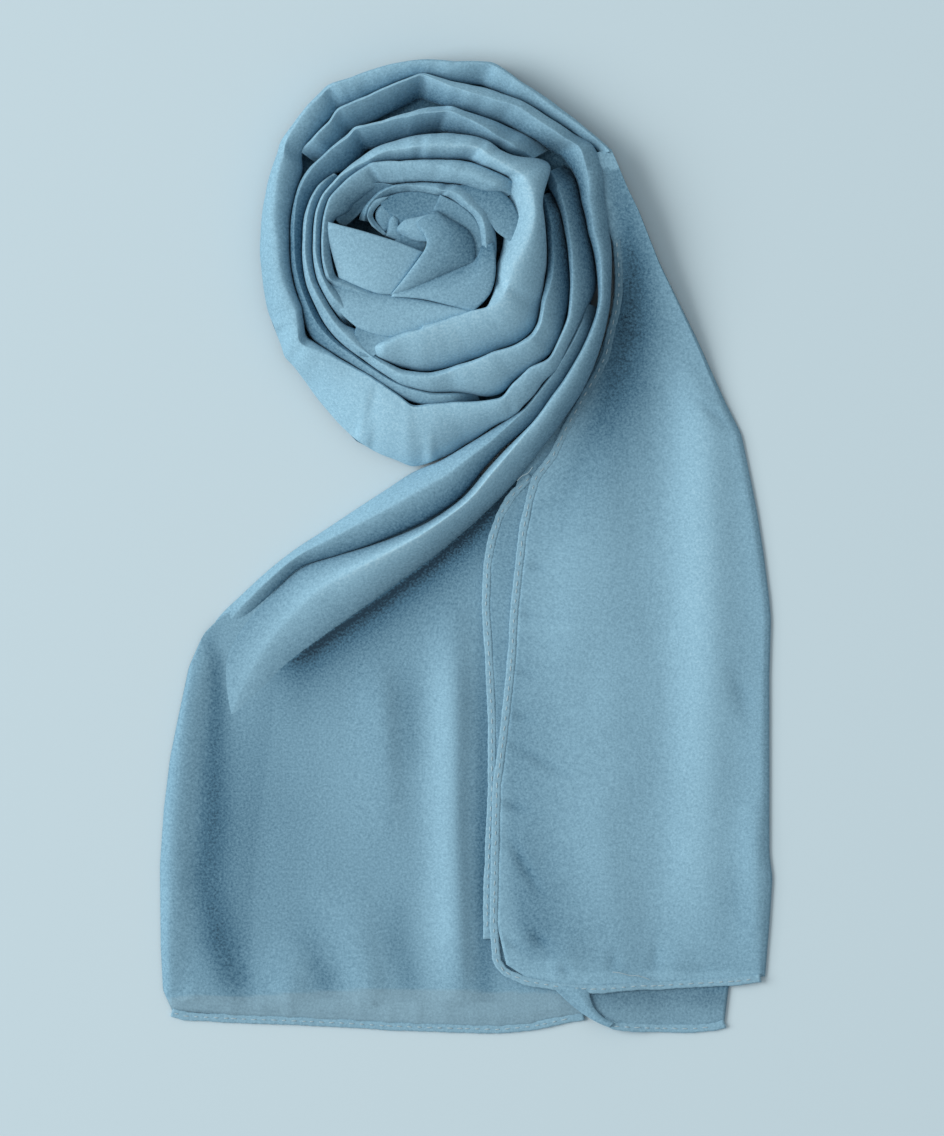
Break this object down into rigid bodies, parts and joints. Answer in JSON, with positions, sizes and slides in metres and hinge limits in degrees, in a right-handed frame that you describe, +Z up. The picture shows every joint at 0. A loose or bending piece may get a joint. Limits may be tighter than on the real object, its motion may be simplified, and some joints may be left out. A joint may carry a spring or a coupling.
{
  "type": "georgette scarf",
  "caption": "Long plain georgette scarf lying flat, folded lengthwise, its middle wound into a raised rosette and its two hemmed ends laid side by side below it.",
  "frame": {"origin": "middle of the scarf's outline, on the surface that it lies on", "axes": "+Z up, +Y from the hemmed ends towards the rosette, +X towards the right tail"},
  "size_m": [0.392, 0.6211, 0.048],
  "materials": {
    "cloth": "matt crepe georgette, slightly sheer",
    "cloth_shade": "matt crepe georgette, slightly sheer",
    "hem": "matt rolled and stitched georgette"
  },
  "bodies": {
    "root": {"rosette_core": "cloth_shade", "right_arm_turn_1": "cloth", "right_arm_turn_2": "cloth", "left_arm_turn_1": "cloth_shade", "left_arm_turn_2": "cloth_shade", "broad_turn": "cloth", "hemmed_turn": "cloth", "heart_ring": "cloth_shade", "heart_petal": "cloth", "heart_dome": "cloth", "heart_nub": "cloth_shade", "fold_a": "cloth", "left_tail_upper": "cloth", "left_tail_lower": "cloth_shade", "right_tail_upper": "cloth", "right_tail_lower": "cloth_shade", "corner_flap": "hem", "right_tail_hem": "hem", "inner_hem": "hem", "lower_hem": "hem", "left_tail_hem": "hem"}
  },
  "joints": []
}
